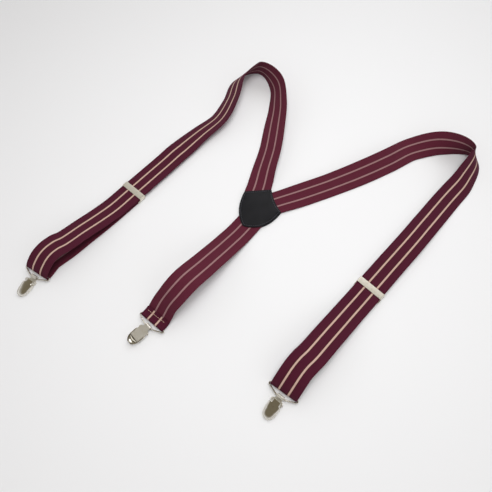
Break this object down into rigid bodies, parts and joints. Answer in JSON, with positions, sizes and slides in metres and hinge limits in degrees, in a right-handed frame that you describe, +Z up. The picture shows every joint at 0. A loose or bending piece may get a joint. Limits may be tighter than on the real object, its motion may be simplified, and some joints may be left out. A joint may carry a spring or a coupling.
{
  "type": "suspenders",
  "caption": "Y-back elastic suspenders with striped webbing, a leather back patch, sliding adjusters, doubled front straps and lever clips on wire rings.",
  "frame": {"origin": "centre of the leather patch's underside, on the surface that the suspenders lie on", "axes": "+X to the right along the spread of the straps, +Y away from the side of the clips, +Z up"},
  "size_m": [0.6276, 0.5286, 0.0351],
  "materials": {
    "webbing": "striped elastic webbing, burgundy with beige stripes",
    "leather": "smooth black leather",
    "black_thread": "black sewing thread",
    "beige_thread": "beige sewing thread",
    "nickel": "polished nickel plate",
    "grip_plastic": "translucent white plastic"
  },
  "bodies": {
    "root": {"patch_bottom_leather": "leather", "patch_top_leather": "leather", "patch_stitching": "black_thread", "back_strap": "webbing", "back_strap_stitching": "beige_thread", "left_strap": "webbing", "right_strap": "webbing"},
    "left_loop": {"left_strap_curl": "webbing", "left_strap_front_layer": "webbing"},
    "left_adjuster": {"left_adjuster_frame": "nickel", "left_adjuster_rear_bar": "nickel", "left_strap_sewn_end": "webbing", "left_strap_return_layer": "webbing"},
    "left_lever": {"left_adjuster_lever": "nickel"},
    "right_loop": {"right_strap_curl": "webbing", "right_strap_front_layer": "webbing"},
    "right_adjuster": {"right_adjuster_frame": "nickel", "right_adjuster_rear_bar": "nickel", "right_strap_sewn_end": "webbing", "right_strap_return_layer": "webbing"},
    "right_lever": {"right_adjuster_lever": "nickel"},
    "left_ring": {"left_ring": "nickel"},
    "left_clip": {"left_clip_back_plate": "nickel", "left_clip_hinge_pin": "nickel"},
    "left_clip_cover": {"left_clip_cover": "nickel", "left_clip_grip": "grip_plastic"},
    "right_ring": {"right_ring": "nickel"},
    "right_clip": {"right_clip_back_plate": "nickel", "right_clip_hinge_pin": "nickel"},
    "right_clip_cover": {"right_clip_cover": "nickel", "right_clip_grip": "grip_plastic"},
    "back_ring": {"back_ring": "nickel"},
    "back_clip": {"back_clip_back_plate": "nickel", "back_clip_hinge_pin": "nickel"},
    "back_clip_cover": {"back_clip_cover": "nickel", "back_clip_grip": "grip_plastic"}
  },
  "joints": [
    {"name": "left_loop_slide", "type": "slide", "parent": "root", "child": "left_loop", "axis": [0.6521, 0.7581, 0], "range_m": [-0.008, 0.025], "deforming": ["left_strap_front_layer"]},
    {"name": "left_adjuster_slide", "type": "slide", "parent": "left_loop", "child": "left_adjuster", "axis": [0.6521, 0.7581, 0], "range_m": [-0.008, 0.025], "deforming": ["left_strap_return_layer"]},
    {"name": "left_lever_hinge", "type": "hinge", "parent": "left_adjuster", "child": "left_lever", "pos_m": [-0.17452, 0.02624, 0.0033], "axis": [-0.7581, 0.6521, 0], "range_deg": [0, 75]},
    {"name": "right_loop_slide", "type": "slide", "parent": "root", "child": "right_loop", "axis": [0.6947, 0.7193, 0], "range_m": [-0.008, 0.025], "deforming": ["right_strap_front_layer"]},
    {"name": "right_adjuster_slide", "type": "slide", "parent": "right_loop", "child": "right_adjuster", "axis": [0.6947, 0.7193, 0], "range_m": [-0.008, 0.025], "deforming": ["right_strap_return_layer"]},
    {"name": "right_lever_hinge", "type": "hinge", "parent": "right_adjuster", "child": "right_lever", "pos_m": [0.13854, -0.11752, 0.0033], "axis": [-0.7193, 0.6947, 0], "range_deg": [0, 75]},
    {"name": "left_ring_swing", "type": "hinge", "parent": "left_loop", "child": "left_ring", "pos_m": [-0.283, -0.096, 0.003], "axis": [-0.8572, 0.515, 0], "range_deg": [-75, 15]},
    {"name": "left_clip_swing", "type": "hinge", "parent": "left_ring", "child": "left_clip", "pos_m": [-0.28712, -0.10286, 0.003], "axis": [-0.8572, 0.515, 0], "range_deg": [-70, 40]},
    {"name": "left_cover_hinge", "type": "hinge", "parent": "left_clip", "child": "left_clip_cover", "pos_m": [-0.29052, -0.10852, 0.0024], "axis": [-0.8572, 0.515, 0], "range_deg": [0, 80]},
    {"name": "right_ring_swing", "type": "hinge", "parent": "right_loop", "child": "right_ring", "pos_m": [0.025, -0.2395, 0.003], "axis": [-0.8192, 0.5736, 0], "range_deg": [-75, 15]},
    {"name": "right_clip_swing", "type": "hinge", "parent": "right_ring", "child": "right_clip", "pos_m": [0.02041, -0.24605, 0.003], "axis": [-0.8192, 0.5736, 0], "range_deg": [-70, 40]},
    {"name": "right_cover_hinge", "type": "hinge", "parent": "right_clip", "child": "right_clip_cover", "pos_m": [0.01626, -0.25118, 0.0024], "axis": [-0.7771, 0.6293, 0], "range_deg": [0, 80]},
    {"name": "back_ring_swing", "type": "hinge", "parent": "root", "child": "back_ring", "pos_m": [-0.1306, -0.1603, 0.003], "axis": [-0.7837, 0.6211, 0], "range_deg": [-75, 60]},
    {"name": "back_clip_swing", "type": "hinge", "parent": "back_ring", "child": "back_clip", "pos_m": [-0.13557, -0.16657, 0.003], "axis": [-0.7837, 0.6211, 0], "range_deg": [-70, 70]},
    {"name": "back_cover_hinge", "type": "hinge", "parent": "back_clip", "child": "back_clip_cover", "pos_m": [-0.14043, -0.17104, 0.0036], "axis": [0.6769, -0.7361, 0], "range_deg": [0, 80]}
  ],
  "couplings": [
    {"joint": "left_adjuster_slide", "follows": "left_loop_slide", "ratio": 1},
    {"joint": "right_adjuster_slide", "follows": "right_loop_slide", "ratio": 1}
  ]
}
